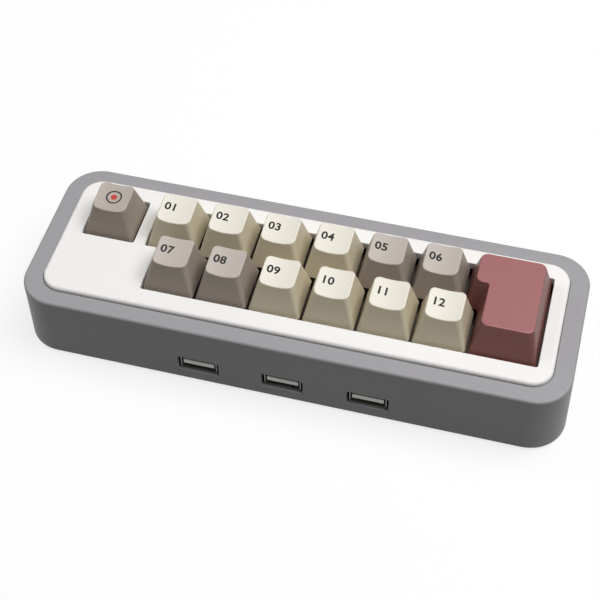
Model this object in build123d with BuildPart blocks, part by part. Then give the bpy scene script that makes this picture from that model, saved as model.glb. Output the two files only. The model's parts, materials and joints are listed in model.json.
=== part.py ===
"""Macro keypad: fourteen keys in a rounded case, with a three-port hub behind its front wall.

Millimetres. X runs along the key rows, Y from the port side to the back, Z up from the desk.
The origin is the middle of the footprint, level with the bottoms of the feet.
"""

import os
from math import atan2, cos, degrees, radians, sin, sqrt, tan

from build123d import *

os.makedirs("parts", exist_ok=True)

# Key layout, in key units and millimetres
key_pitch = 19.05
keys_per_row = 6
solo_key_units = 1.0
row_stagger_units = 0.25
enter_back_units = 1.5
key_travel = 4.0

# Case and cover
cover_margin_left = 7.05
cover_margin_right = 5.7
cover_margin_front = 7.45
cover_margin_back = 6.95
cover_thickness = 3.0
cover_proud = 1.5
cover_corner_radius = 7.5
cover_edge_radius = 1.2
cover_gap = 0.25
cut_out_margin = 0.29
cut_out_corner_radius = 0.8
cut_out_edge_radius = 0.3
rim_width = 6.25
rim_width_ends = 6.85
rim_edge_radius = 1.0
ledge_width = 1.4
ledge_thickness = 2.5
case_height = 26.4
case_wall = 3.0
case_corner_radius = 12.6
wall_flare = 0.7
case_foot_radius = 0.6
seat_rib_width = 1.5
base_thickness = 2.5
base_gap = 0.2

# Feet
foot_radius = 5.0
foot_proud = 1.0
foot_sunk = 1.0
foot_gap = 0.1
foot_edge_radius = 0.5
foot_inset_x = 18.0
foot_inset_y = 12.6

# Single-unit keycap, heights above the skirt
cap_gap = 0.95
cap_front_height = 11.43
cap_back_height = 12.18
cap_top_width = 12.3
cap_top_front = 4.8
cap_top_back = 6.9
cap_base_radius = 1.0
cap_top_radius = 2.2
cap_dish_depth = 0.95
cap_rim_radius = 0.45
cap_wall = 1.4
cap_roof = 1.5
skirt_drop = 1.2
skirt_above_plate = 6.1

# Enter keycap
enter_front_height = 10.64
enter_back_height = 10.95
enter_side_inset = 3.06
enter_front_inset = 5.5
enter_back_inset = 2.23
enter_notch_inset = 4.2
enter_base_radius = 1.0
enter_top_radius = 2.6
enter_inner_radius = 0.8
enter_rim_radius = 0.5
enter_roof = 1.6

# Cross mount between keycap and stem
cross_span = 4.0
cross_bar = 1.2
cross_height = 3.7
cross_clearance = 0.03
socket_radius = 2.75
socket_headroom = 0.15
socket_seat_gap = 0.1
socket_bite = 0.5

# Key switch, heights from the top of the plate
plate_thickness = 1.5
board_drop = 5.0
board_thickness = 1.6
switch_body = 13.9
switch_fit = 0.05
flange_width = 15.6
flange_thickness = 1.0
flange_radius = 0.6
lower_cavity = 10.8
lower_floor = 1.5
upper_base_width = 15.0
upper_top_width = 11.0
upper_height = 6.6
upper_wall = 0.6
upper_cavity_base = 12.6
upper_roof = 1.0
slider_length = 7.2
slider_depth = 6.0
slider_gap = 0.2
slider_roof = 0.9
slider_floor_gap = 1.1
wing_length = 9.4
wing_depth = 3.0
stop_gap = 0.1
pole_radius = 1.5
pole_gap = 0.15
pole_overlap = 0.1
post_radius = 1.95
post_wall = 0.5
post_fit = 0.08
spring_radius = 2.15
spring_wire = 0.3
spring_well_gap = 0.2

# Switch contacts
contact_width = 1.4
contact_thickness = 0.3
contact_gap = 0.1
contact_tail = 1.4
contact_top = 0.6
fixed_contact_x = 2.54
fixed_contact_y = 5.08
moving_contact_x = -3.81
moving_contact_y = 2.54
moving_leaf_y = 4.75

# Stabiliser of the enter key, measured from its middle and the top of the plate
stabiliser_spacing = 11.938
wire_radius = 0.7
wire_pivot_x = 8.7
wire_pivot_z = 1.2
wire_bend_radius = 1.2
wire_tip = 1.0
wire_fit = 0.06
wire_room = 0.25
guide_length = 4.0
guide_depth = 4.4
guide_bottom = 1.2
guide_gap = 0.2
guide_wall = 1.2
guide_side_wall = 0.8
guide_flange = 0.6
guide_height = 4.8
guide_floor = 0.8
guide_right = 7.0
clip_start = 1.5
clip_end = 3.4
clip_wall = 0.55
clip_mouth = 0.5

# Ports and their board
port_pitch = 30.3
port_count = 3
port_opening_side_gap = 0.85
port_opening_level_gap = 0.5
port_opening_radius = 0.6
port_edge_radius = 0.25
port_wall = 0.9
port_pocket_margin = 1.5
port_shell_width = 13.0
port_shell_height = 5.7
port_shell_depth = 14.0
port_shell_wall = 0.3
port_shell_radius = 0.9
port_shell_recess = 0.9
port_tongue_side_gap = 0.65
port_tongue_thickness = 2.0
port_tongue_rise = -0.65
port_tongue_recess = 0.1
port_block_depth = 2.2
port_block_gap = 0.05
port_contact_width = 1.0
port_contact_thickness = 0.2
port_contact_setback = 0.8
port_contact_offsets = (-3.5, -1.0, 1.0, 3.5)
port_leg_width = 1.8
port_leg_length = 2.4
port_leg_offsets = (4.8, 11.6)
port_leg_gap = 0.25
hub_board_end_gap = 11.65
hub_board_gap = 0.5

# Inlet in the back wall
inlet_width = 8.94
inlet_height = 3.26
inlet_depth = 7.3
inlet_wall = 0.3
inlet_recess = 0.4
inlet_opening_gap = 0.4
inlet_tongue_width = 6.7
inlet_tongue_thickness = 0.7
inlet_tongue_recess = 0.9
inlet_block_depth = 1.6
inlet_block_gap = 0.05

# Link between the two boards
link_pins = 6
link_pin_pitch = 2.54
link_pin_side = 0.64
link_pin_tail = 0.9
link_pin_fit = 0.06
link_body_width = 2.5
link_hole_radius = 0.52

# Chips
key_chip_side = 7.0
key_chip_thickness = 1.0
key_chip_units = 0.32
hub_chip_length = 10.0
hub_chip_width = 5.3
hub_chip_thickness = 1.6
hub_chip_y = 4.0
chip_edge = 0.2

# Fasteners
screw_fit = 0.03
plate_screw_radius = 1.0
plate_screw_length = 4.6
plate_screw_head_radius = 1.9
plate_screw_head_height = 1.3
plate_screw_hole_gap = 0.15
cover_boss_radius = 2.2
cover_boss_inset = 12.5
base_screw_radius = 1.25
base_screw_length = 9.0
base_screw_head_radius = 2.4
base_screw_hole_gap = 0.15
countersink_angle = 90.0
case_boss_radius = 3.2
case_boss_bite = 0.5
hub_screw_radius = 1.0
hub_screw_length = 3.9
hub_screw_head_radius = 1.9
hub_screw_head_height = 1.2
hub_screw_hole_gap = 0.15
hub_screw_inset = 4.5
standoff_radius = 2.6
standoff_height = 1.1
pilot_spare = 0.4
driver_slot_length = 2.2
driver_slot_width = 0.5
driver_slot_depth = 0.7
board_inset = 3.0
board_edge = 1.4
plate_lip = 0.3
plate_corner_clear = 1.6

# Layout worked out from the key units
back_start_units = solo_key_units + row_stagger_units
front_start_units = back_start_units + row_stagger_units
right_units = back_start_units + keys_per_row + enter_back_units
layout_length = right_units * key_pitch
layout_depth = 2 * key_pitch
layout_left = -layout_length / 2 + (cover_margin_left - cover_margin_right) / 2
layout_front = -layout_depth / 2 + (cover_margin_front - cover_margin_back) / 2
front_row_y = layout_front + 0.5 * key_pitch
back_row_y = layout_front + 1.5 * key_pitch
rows_y = layout_front + key_pitch


def column_x(units):
    """X of a line that many key units from the left edge of the layout."""
    return layout_left + units * key_pitch


# Case outlines, from the cover outwards
cover_length = layout_length + cover_margin_left + cover_margin_right
cover_width = layout_depth + cover_margin_front + cover_margin_back
case_length = cover_length + 2 * rim_width_ends
case_width = cover_width + 2 * rim_width
cavity_length = case_length - 2 * case_wall
cavity_width = case_width - 2 * case_wall
cavity_corner_radius = case_corner_radius - case_wall
opening_length = cover_length - 2 * ledge_width
opening_width = cover_width - 2 * ledge_width
opening_corner_radius = cover_corner_radius - ledge_width
seat_length = opening_length + 2 * seat_rib_width
seat_width = opening_width + 2 * seat_rib_width
seat_corner_radius = opening_corner_radius + seat_rib_width

# Levels above the desk
case_bottom = foot_proud
base_top = case_bottom + base_thickness
rim_top = case_bottom + case_height
cover_top = rim_top + cover_proud
cover_under = cover_top - cover_thickness
ledge_under = cover_under - ledge_thickness
plate_top = cover_top - skirt_drop - skirt_above_plate
plate_under = plate_top - plate_thickness
board_top = plate_top - board_drop
board_under = board_top - board_thickness
hub_under = base_top + standoff_height
hub_top = hub_under + board_thickness
port_level = hub_top + port_shell_height / 2


def wall_reach(level):
    """Distance of the case's flared front or back face from the middle, at a height above the desk."""
    return case_width / 2 + wall_flare * (rim_top - level) / case_height


# Key positions, as the middles of their switches
enter_front_units = enter_back_units - row_stagger_units
enter_x = column_x(right_units - enter_front_units / 2)
single_keys = {"solo": (column_x(solo_key_units / 2), back_row_y)}
for number in range(keys_per_row):
    single_keys[f"{number + 1:02d}"] = (column_x(back_start_units + number + 0.5), back_row_y)
for number in range(keys_per_row):
    name = f"{keys_per_row + number + 1:02d}"
    single_keys[name] = (column_x(front_start_units + number + 0.5), front_row_y)
all_keys = {**single_keys, "enter": (enter_x, rows_y)}
switch_points = [(x, y, plate_top) for x, y in all_keys.values()]
stabiliser_points = [(enter_x, rows_y + side * stabiliser_spacing) for side in (-1, 1)]

# Fastener positions
corner_arc_x = case_length / 2 - case_corner_radius
corner_arc_y = case_width / 2 - case_corner_radius
case_boss_reach = (cavity_corner_radius - case_boss_radius + case_boss_bite) / sqrt(2)
case_boss_x = corner_arc_x + case_boss_reach
case_boss_y = corner_arc_y + case_boss_reach
case_boss_points = [(sx * case_boss_x, sy * case_boss_y) for sx in (-1, 1) for sy in (-1, 1)]
cover_boss_x = opening_length / 2 - cover_boss_inset
cover_boss_front_y = (layout_front - cut_out_margin - opening_width / 2) / 2
cover_boss_back_y = (layout_front + layout_depth + cut_out_margin + opening_width / 2) / 2
cover_boss_points = [
    (x, y) for x in (-cover_boss_x, 0, cover_boss_x) for y in (cover_boss_front_y, cover_boss_back_y)
]
hub_board_length = 2 * (case_boss_x - case_boss_radius - hub_board_end_gap)
hub_board_width = cavity_width - 2 * hub_board_gap
hub_screw_x = hub_board_length / 2 - hub_screw_inset
hub_screw_y = hub_board_width / 2 - hub_screw_inset
hub_screw_points = [(sx * hub_screw_x, sy * hub_screw_y) for sx in (-1, 1) for sy in (-1, 1)]
foot_x = case_length / 2 - foot_inset_x
foot_y = case_width / 2 - foot_inset_y
foot_points = [(sx * foot_x, sy * foot_y) for sx in (-1, 1) for sy in (-1, 1)]
port_xs = [port_pitch * (number - (port_count - 1) / 2) for number in range(port_count)]
port_opening_width = port_shell_width + 2 * port_opening_side_gap
port_opening_height = port_shell_height + 2 * port_opening_level_gap
port_tongue_width = port_shell_width - 2 * port_shell_wall - 2 * port_tongue_side_gap
port_face_y = -wall_reach(port_level) + port_shell_recess
inlet_level = hub_top + inlet_height / 2
inlet_face_y = wall_reach(inlet_level) - inlet_recess
link_x = column_x(front_start_units / 2)
link_points = [
    (link_x, front_row_y + link_pin_pitch * (number - (link_pins - 1) / 2)) for number in range(link_pins)
]


def finish(piece, node):
    """Label a finished piece and write it as one node."""
    piece.part.label = node
    export_step(piece.part, f"parts/{node}.step")


# Outer case: a rounded, slightly flared wall with an inturned rim, a rebate for the cover and corner bosses
with BuildPart() as outer_case:
    with BuildSketch(Plane.XY.offset(case_bottom)):
        RectangleRounded(
            case_length + 2 * wall_flare, case_width + 2 * wall_flare, case_corner_radius + wall_flare
        )
    extrude(amount=case_height, taper=degrees(atan2(wall_flare, case_height)))
    fillet(outer_case.faces().sort_by(Axis.Z)[-1].edges(), rim_edge_radius)
    fillet(outer_case.faces().sort_by(Axis.Z)[0].edges(), case_foot_radius)
    with BuildSketch(Plane.XY.offset(case_bottom)):
        RectangleRounded(cavity_length, cavity_width, cavity_corner_radius)
    extrude(amount=plate_top - case_bottom, mode=Mode.SUBTRACT)
    with BuildSketch(Plane.XY.offset(plate_top)):
        RectangleRounded(cavity_length, cavity_width, cavity_corner_radius)
        RectangleRounded(seat_length, seat_width, seat_corner_radius, mode=Mode.SUBTRACT)
    extrude(amount=ledge_under - plate_top, mode=Mode.SUBTRACT)
    with BuildSketch(Plane.XY.offset(plate_top)):
        RectangleRounded(opening_length, opening_width, opening_corner_radius)
    extrude(amount=rim_top - plate_top, mode=Mode.SUBTRACT)
    with BuildSketch(Plane.XY.offset(cover_under)):
        RectangleRounded(
            cover_length + 2 * cover_gap, cover_width + 2 * cover_gap, cover_corner_radius + cover_gap
        )
    extrude(amount=rim_top - cover_under, mode=Mode.SUBTRACT)
    with BuildSketch(Plane.XY.offset(base_top)):
        with Locations(*case_boss_points):
            Circle(case_boss_radius)
    extrude(amount=plate_top - base_top)
    with BuildSketch(Plane.XY.offset(base_top)):
        with Locations(*case_boss_points):
            Circle(base_screw_radius + screw_fit)
    extrude(amount=base_screw_length - base_thickness + pilot_spare, mode=Mode.SUBTRACT)
    with BuildSketch(Plane.XZ.offset(case_width / 2 + wall_flare)):
        with Locations(*[(x, port_level) for x in port_xs]):
            RectangleRounded(port_opening_width, port_opening_height, port_opening_radius)
    extrude(amount=-case_wall - wall_flare, mode=Mode.SUBTRACT)
    with BuildSketch(Plane.XZ.offset(case_width / 2 - case_wall)):
        with Locations(*[(x, port_level) for x in port_xs]):
            RectangleRounded(
                port_opening_width + 2 * port_pocket_margin,
                port_opening_height + 2 * port_pocket_margin,
                port_opening_radius + port_pocket_margin,
            )
    extrude(amount=case_wall - port_wall, mode=Mode.SUBTRACT)
    with BuildSketch(Plane.XZ.offset(-case_width / 2 - wall_flare)):
        with Locations((0, inlet_level)):
            SlotOverall(inlet_width + 2 * inlet_opening_gap, inlet_height + 2 * inlet_opening_gap)
    extrude(amount=case_wall + wall_flare, mode=Mode.SUBTRACT)
    walls = outer_case.faces().filter_by(GeomType.PLANE).sort_by(Axis.Y)
    for wall in (walls[0], walls[-1]):
        fillet([edge for opening in wall.inner_wires() for edge in opening.edges()], port_edge_radius)
finish(outer_case, "outer_case")

# Top cover: the pale panel with its two key openings, and bosses that the plate is screwed to
with BuildPart() as top_cover:
    with BuildSketch(Plane.XY.offset(cover_under)):
        RectangleRounded(cover_length, cover_width, cover_corner_radius)
    extrude(amount=cover_thickness)
    fillet(top_cover.faces().sort_by(Axis.Z)[-1].edges(), cover_edge_radius)
    with BuildSketch(Plane.XY.offset(cover_under)) as key_openings:
        cut_depth = key_pitch + 2 * cut_out_margin
        with Locations(single_keys["solo"]):
            Rectangle(solo_key_units * key_pitch + 2 * cut_out_margin, cut_depth)
        for start, row_y in ((back_start_units, back_row_y), (front_start_units, front_row_y)):
            with Locations(((column_x(start) + column_x(right_units)) / 2, row_y)):
                Rectangle((right_units - start) * key_pitch + 2 * cut_out_margin, cut_depth)
        fillet(key_openings.vertices(), cut_out_corner_radius)
    extrude(amount=cover_thickness, mode=Mode.SUBTRACT)
    cover_face = top_cover.faces().sort_by(Axis.Z)[-1]
    fillet([edge for opening in cover_face.inner_wires() for edge in opening.edges()], cut_out_edge_radius)
    with BuildSketch(Plane.XY.offset(plate_top)):
        with Locations(*cover_boss_points):
            Circle(cover_boss_radius)
    extrude(amount=cover_under - plate_top)
    with BuildSketch(Plane.XY.offset(plate_top)):
        with Locations(*cover_boss_points):
            Circle(plate_screw_radius + screw_fit)
    extrude(amount=plate_screw_length - plate_thickness + pilot_spare, mode=Mode.SUBTRACT)
finish(top_cover, "top_cover")

# Bottom cover: a flat plate let into the case, with standoffs above and seats for screws and feet below
with BuildPart() as bottom_cover:
    with BuildSketch(Plane.XY.offset(case_bottom)):
        RectangleRounded(
            cavity_length - 2 * base_gap, cavity_width - 2 * base_gap, cavity_corner_radius - base_gap
        )
    extrude(amount=base_thickness)
    with BuildSketch(Plane.XY.offset(base_top)):
        with Locations(*hub_screw_points):
            Circle(standoff_radius)
    extrude(amount=hub_under - base_top)
    with BuildSketch(Plane.XY.offset(hub_under)):
        with Locations(*hub_screw_points):
            Circle(hub_screw_radius + screw_fit)
    extrude(amount=-(hub_screw_length - board_thickness + pilot_spare), mode=Mode.SUBTRACT)
    with BuildSketch(Plane.XY.offset(case_bottom)):
        with Locations(*foot_points):
            Circle(foot_radius + foot_gap)
    extrude(amount=foot_sunk, mode=Mode.SUBTRACT)
    with Locations(*[Location((x, y, case_bottom), (180, 0, 0)) for x, y in case_boss_points]):
        CounterSinkHole(
            base_screw_radius + base_screw_hole_gap,
            base_screw_head_radius + base_screw_hole_gap,
            depth=base_thickness,
            counter_sink_angle=countersink_angle,
        )
finish(bottom_cover, "bottom_cover")

# Switch plate: the sheet that the switches clip into, drawn up against the rib inside the rim
plate_length = seat_length + 2 * plate_lip
plate_width = seat_width + 2 * plate_lip
boss_room = sqrt(2) * (case_boss_radius + plate_corner_clear)
plate_corner_cut = plate_length / 2 + plate_width / 2 + boss_room - case_boss_x - case_boss_y
with BuildPart() as switch_plate:
    with BuildSketch(Plane.XY.offset(plate_under)) as plate_outline:
        Rectangle(plate_length, plate_width)
        chamfer(plate_outline.vertices(), plate_corner_cut)
        with Locations(*all_keys.values()):
            Rectangle(switch_body + 2 * switch_fit, switch_body + 2 * switch_fit, mode=Mode.SUBTRACT)
        with Locations(*cover_boss_points):
            Circle(plate_screw_radius + plate_screw_hole_gap, mode=Mode.SUBTRACT)
        guide_left = -(guide_length / 2 + guide_gap + guide_wall)
        guide_half_width = guide_depth / 2 + guide_gap + guide_side_wall
        with Locations(*[(x + (guide_left + guide_right) / 2, y) for x, y in stabiliser_points]):
            Rectangle(
                guide_right - guide_left + 2 * switch_fit,
                2 * guide_half_width + 2 * switch_fit,
                mode=Mode.SUBTRACT,
            )
    extrude(amount=plate_thickness)
finish(switch_plate, "switch_plate")

# Main board, with a hole for each switch post, contact tail and link pin
with BuildPart() as main_board:
    main_length = plate_length - 2 * board_inset
    main_width = back_row_y - front_row_y + switch_body + 2 * board_edge
    with BuildSketch(Plane.XY.offset(board_under)):
        with Locations((0, rows_y)):
            Rectangle(main_length, main_width)
        with Locations(*all_keys.values()):
            Circle(post_radius + post_fit, mode=Mode.SUBTRACT)
            with Locations((fixed_contact_x, fixed_contact_y), (moving_contact_x, moving_contact_y)):
                Circle(contact_width / 2 + contact_gap, mode=Mode.SUBTRACT)
        with Locations(*link_points):
            Circle(link_hole_radius, mode=Mode.SUBTRACT)
    extrude(amount=board_thickness)
finish(main_board, "main_board")

# Hub board, on the standoffs of the bottom cover
port_leg_x = (port_shell_width - port_shell_wall) / 2
port_leg_points = [
    (x + side * port_leg_x, port_face_y + along)
    for x in port_xs
    for side in (-1, 1)
    for along in port_leg_offsets
]
with BuildPart() as hub_board:
    with BuildSketch(Plane.XY.offset(hub_under)):
        Rectangle(hub_board_length, hub_board_width)
        with Locations(*hub_screw_points):
            Circle(hub_screw_radius + hub_screw_hole_gap, mode=Mode.SUBTRACT)
        with Locations(*port_leg_points):
            Rectangle(
                port_shell_wall + 2 * port_leg_gap, port_leg_width + 2 * port_leg_gap, mode=Mode.SUBTRACT
            )
        with Locations(*link_points):
            Circle(link_hole_radius, mode=Mode.SUBTRACT)
    extrude(amount=board_thickness)
finish(hub_board, "hub_board")

# Key switch, modelled once about its own axis with the top of the plate at zero
cavity_floor = lower_floor - board_drop
slider_bottom = cavity_floor + key_travel + slider_floor_gap
slider_top = upper_height - stop_gap
wing_top = upper_height - upper_roof - stop_gap
pole_bottom = cavity_floor - pole_overlap
bore_bottom = pole_bottom - key_travel - stop_gap
spring_top = slider_top - slider_roof
tail_bottom = -board_drop - board_thickness - contact_tail

with BuildPart() as lower_housing:
    with BuildSketch(Plane.XY.offset(-board_drop)):
        Rectangle(switch_body, switch_body)
    extrude(amount=board_drop)
    with BuildSketch():
        RectangleRounded(flange_width, flange_width, flange_radius)
    extrude(amount=flange_thickness)
    with BuildSketch(Plane.XY.offset(cavity_floor)):
        Rectangle(lower_cavity, lower_cavity)
    extrude(amount=flange_thickness - cavity_floor, mode=Mode.SUBTRACT)
    with BuildSketch(Plane.XY.offset(bore_bottom - post_wall)):
        Circle(post_radius)
    extrude(amount=-board_drop - bore_bottom + post_wall)
    with BuildSketch(Plane.XY.offset(bore_bottom)):
        Circle(pole_radius + pole_gap)
    extrude(amount=cavity_floor - bore_bottom, mode=Mode.SUBTRACT)
    with BuildSketch(Plane.XY.offset(-board_drop)):
        with Locations((fixed_contact_x, fixed_contact_y), (moving_contact_x, moving_contact_y)):
            Rectangle(contact_width + 2 * contact_gap, contact_thickness + 2 * contact_gap)
    extrude(amount=lower_floor, mode=Mode.SUBTRACT)

with BuildPart() as upper_housing:
    with BuildSketch(Plane.XY.offset(flange_thickness)):
        RectangleRounded(upper_base_width, upper_base_width, flange_radius)
    with BuildSketch(Plane.XY.offset(upper_height)):
        RectangleRounded(upper_top_width, upper_top_width, flange_radius)
    loft()
    with BuildSketch(Plane.XY.offset(flange_thickness)):
        Rectangle(upper_cavity_base, upper_cavity_base)
    with BuildSketch(Plane.XY.offset(upper_height - upper_roof)):
        Rectangle(upper_top_width - 2 * upper_wall, upper_top_width - 2 * upper_wall)
    loft(mode=Mode.SUBTRACT)
    with BuildSketch(Plane.XY.offset(upper_height - upper_roof)):
        Rectangle(slider_length + 2 * slider_gap, slider_depth + 2 * slider_gap)
    extrude(amount=upper_roof, mode=Mode.SUBTRACT)

with BuildPart() as contacts:
    with BuildSketch(Plane.YZ.offset(fixed_contact_x - contact_width / 2)):
        with Locations((fixed_contact_y, (tail_bottom + contact_top) / 2)):
            Rectangle(contact_thickness, contact_top - tail_bottom)
    extrude(amount=contact_width)
    half_leaf = contact_thickness / 2
    with BuildSketch(Plane.YZ.offset(moving_contact_x - contact_width / 2)):
        with BuildLine():
            Polyline(
                (moving_contact_y - half_leaf, tail_bottom),
                (moving_contact_y + half_leaf, tail_bottom),
                (moving_contact_y + half_leaf, cavity_floor),
                (moving_leaf_y + half_leaf, cavity_floor),
                (moving_leaf_y + half_leaf, contact_top),
                (moving_leaf_y - half_leaf, contact_top),
                (moving_leaf_y - half_leaf, cavity_floor + contact_thickness),
                (moving_contact_y - half_leaf, cavity_floor + contact_thickness),
                close=True,
            )
        make_face()
    extrude(amount=contact_width)

with BuildPart() as spring:
    with BuildSketch(Plane.XY.offset(cavity_floor)):
        Circle(spring_radius + spring_wire / 2)
        Circle(spring_radius - spring_wire / 2, mode=Mode.SUBTRACT)
    extrude(amount=spring_top - cavity_floor)


def cross_sketch(clearance):
    """The plus-shaped section of a stem's top, grown by a clearance for its socket."""
    Rectangle(cross_span + 2 * clearance, cross_bar + 2 * clearance)
    Rectangle(cross_bar + 2 * clearance, cross_span + 2 * clearance)


with BuildPart() as switch_stem:
    with BuildSketch(Plane.XY.offset(slider_bottom)):
        Rectangle(slider_length, slider_depth)
    extrude(amount=slider_top - slider_bottom)
    with BuildSketch(Plane.XY.offset(slider_bottom)):
        Rectangle(wing_length, wing_depth)
    extrude(amount=wing_top - slider_bottom)
    with BuildSketch(Plane.XY.offset(slider_bottom)):
        Circle(spring_radius + spring_wire / 2 + spring_well_gap)
    extrude(amount=spring_top - slider_bottom, mode=Mode.SUBTRACT)
    with BuildSketch(Plane.XY.offset(pole_bottom)):
        Circle(pole_radius)
    extrude(amount=spring_top - pole_bottom)
    with BuildSketch(Plane.XY.offset(slider_top)):
        cross_sketch(0)
    extrude(amount=cross_height)

# The fixed switch pieces, one solid for each key
switch_groups = {
    "switch_lower_housings": lower_housing,
    "switch_upper_housings": upper_housing,
    "switch_contacts": contacts,
    "switch_springs": spring,
}
for node, single in switch_groups.items():
    with BuildPart() as switch_group:
        with Locations(*switch_points):
            add(single.part)
    finish(switch_group, node)

# One moving stem for each key
for name, (x, y) in all_keys.items():
    with BuildPart() as stem:
        with Locations((x, y, plate_top)):
            add(switch_stem.part)
    finish(stem, f"stem_{name}")

# Keycap sockets, shared by both cap shapes
socket_bottom = slider_top + socket_seat_gap
socket_depth = cross_height - socket_seat_gap + socket_headroom


def cap_plane(front_y, back_y, front_height, back_height):
    """Plane through the front and back edges of a keycap's top, with its origin over the switch."""
    slope = (back_height - front_height) / (back_y - front_y)
    tilt = atan2(slope, 1)
    level = skirt_above_plate + front_height - front_y * slope
    return Plane(origin=(0, 0, level), x_dir=(1, 0, 0), z_dir=(0, -sin(tilt), cos(tilt)))


# Single-unit keycap: a tapered shell with a cylindrical dish, about its switch's axis
cap_base = key_pitch - cap_gap
cap_height = (cap_front_height + cap_back_height) / 2
cap_top_depth = cap_top_front + cap_top_back
cap_top_middle = (cap_top_back - cap_top_front) / 2
cap_top = cap_plane(-cap_top_front, cap_top_back, cap_front_height, cap_back_height)
dish_radius = (cap_top_width**2 / 4 + cap_dish_depth**2) / (2 * cap_dish_depth)
dish_axis = cap_top.offset(dish_radius - cap_dish_depth)
roof_drop = cap_dish_depth + cap_roof


def cap_section(above_top, wall, radius):
    """Rounded outline of the tapering cap at a height above its top plane, less a wall."""
    share = 1 + above_top / cap_height
    with Locations((0, cap_top_middle * share)):
        RectangleRounded(
            cap_base + (cap_top_width - cap_base) * share - 2 * wall,
            cap_base + (cap_top_depth - cap_base) * share - 2 * wall,
            radius,
        )


with BuildPart() as single_cap:
    with BuildSketch(Plane.XY.offset(skirt_above_plate)):
        RectangleRounded(cap_base, cap_base, cap_base_radius)
    with BuildSketch(cap_top.offset(cap_dish_depth)):
        cap_section(cap_dish_depth, 0, cap_top_radius)
    loft()
    with BuildSketch(Plane(origin=dish_axis.origin, x_dir=(1, 0, 0), z_dir=cap_top.y_dir)):
        Circle(dish_radius)
    extrude(amount=cap_base, both=True, mode=Mode.SUBTRACT)
    dish = single_cap.faces().filter_by(GeomType.CYLINDER).sort_by(SortBy.AREA)[-1]
    fillet(dish.edges(), cap_rim_radius)
    with BuildSketch(Plane.XY.offset(skirt_above_plate)):
        RectangleRounded(cap_base - 2 * cap_wall, cap_base - 2 * cap_wall, cap_base_radius)
    with BuildSketch(cap_top.offset(-roof_drop)):
        cap_section(-roof_drop, cap_wall, cap_base_radius)
    loft(mode=Mode.SUBTRACT)
    with BuildSketch(Plane.XY.offset(socket_bottom)):
        Circle(socket_radius)
    extrude(amount=skirt_above_plate + cap_height - roof_drop + socket_bite - socket_bottom)
    with BuildSketch(Plane.XY.offset(socket_bottom)):
        cross_sketch(cross_clearance)
    extrude(amount=socket_depth, mode=Mode.SUBTRACT)

for name, (x, y) in single_keys.items():
    with BuildPart() as keycap:
        with Locations((x, y, plate_top)):
            add(single_cap.part)
    finish(keycap, f"keycap_{name}")

# Enter keycap: a stepped shell over two rows, about the axis of its switch
enter_height = (enter_front_height + enter_back_height) / 2
enter_half_width = enter_front_units * key_pitch / 2
enter_step = row_stagger_units * key_pitch
enter_top = cap_plane(
    enter_front_inset - key_pitch, key_pitch - enter_back_inset, enter_front_height, enter_back_height
)


def enter_section(sketch, share, wall, radius):
    """Stepped outline at a share of the cap's height, less a wall, with rounded corners."""
    edge = cap_gap / 2
    side, front, back, notch = [
        edge + (inset - edge) * share + wall
        for inset in (enter_side_inset, enter_front_inset, enter_back_inset, enter_notch_inset)
    ]
    left, right = side - enter_half_width, enter_half_width - side
    near, far = front - key_pitch, key_pitch - back
    Polygon(
        (left, near),
        (right, near),
        (right, far),
        (left - enter_step, far),
        (left - enter_step, notch),
        (left, notch),
        align=None,
    )
    corners = sketch.vertices().sort_by_distance((left, notch, 0))
    fillet(corners[1:], radius)
    fillet(sketch.vertices().sort_by_distance((left, notch, 0))[0], enter_inner_radius)


with BuildPart() as enter_hollow:
    with BuildSketch(Plane.XY.offset(skirt_above_plate)) as enter_skirt_face:
        enter_section(enter_skirt_face, 0, cap_wall, enter_base_radius)
    with BuildSketch(enter_top.offset(-enter_roof)) as enter_roof_face:
        enter_section(enter_roof_face, 1 - enter_roof / enter_height, cap_wall, enter_base_radius)
    loft()
    socket_points = [(0, 0), (0, -stabiliser_spacing), (0, stabiliser_spacing)]
    with BuildSketch(Plane.XY.offset(socket_bottom)):
        with Locations(*socket_points):
            Circle(socket_radius)
    extrude(amount=enter_height, mode=Mode.SUBTRACT)

with BuildPart() as enter_cap:
    with BuildSketch(Plane.XY.offset(skirt_above_plate)) as enter_base_face:
        enter_section(enter_base_face, 0, 0, enter_base_radius)
    with BuildSketch(enter_top) as enter_top_face:
        enter_section(enter_top_face, 1, 0, enter_top_radius)
    loft()
    fillet(enter_cap.faces().sort_by(Axis.Z)[-1].edges(), enter_rim_radius)
    add(enter_hollow.part, mode=Mode.SUBTRACT)
    with BuildSketch(Plane.XY.offset(socket_bottom)):
        with Locations(*socket_points):
            cross_sketch(cross_clearance)
    extrude(amount=socket_depth, mode=Mode.SUBTRACT)

with BuildPart() as keycap_enter:
    with Locations((enter_x, rows_y, plate_top)):
        add(enter_cap.part)
finish(keycap_enter, "keycap_enter")

# Stabiliser of the enter key: two guides in the plate, two sliders and the wire that ties them
swing = atan2(key_travel / 2, wire_pivot_x)
wire_half_height = wire_radius / cos(swing)
slot_half_width = wire_radius + wire_room
arm_drop = (wire_pivot_x - guide_length / 2) * tan(swing) + wire_half_height + wire_room
guide_cavity_floor = guide_bottom - key_travel - guide_gap
guide_under = guide_cavity_floor - guide_floor
guide_middle = (guide_left + guide_right) / 2
clip_right = wire_pivot_x + clip_mouth
clip_top = wire_pivot_z + wire_radius + wire_fit + clip_wall
well_floor = socket_bottom - key_travel - guide_gap

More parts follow.
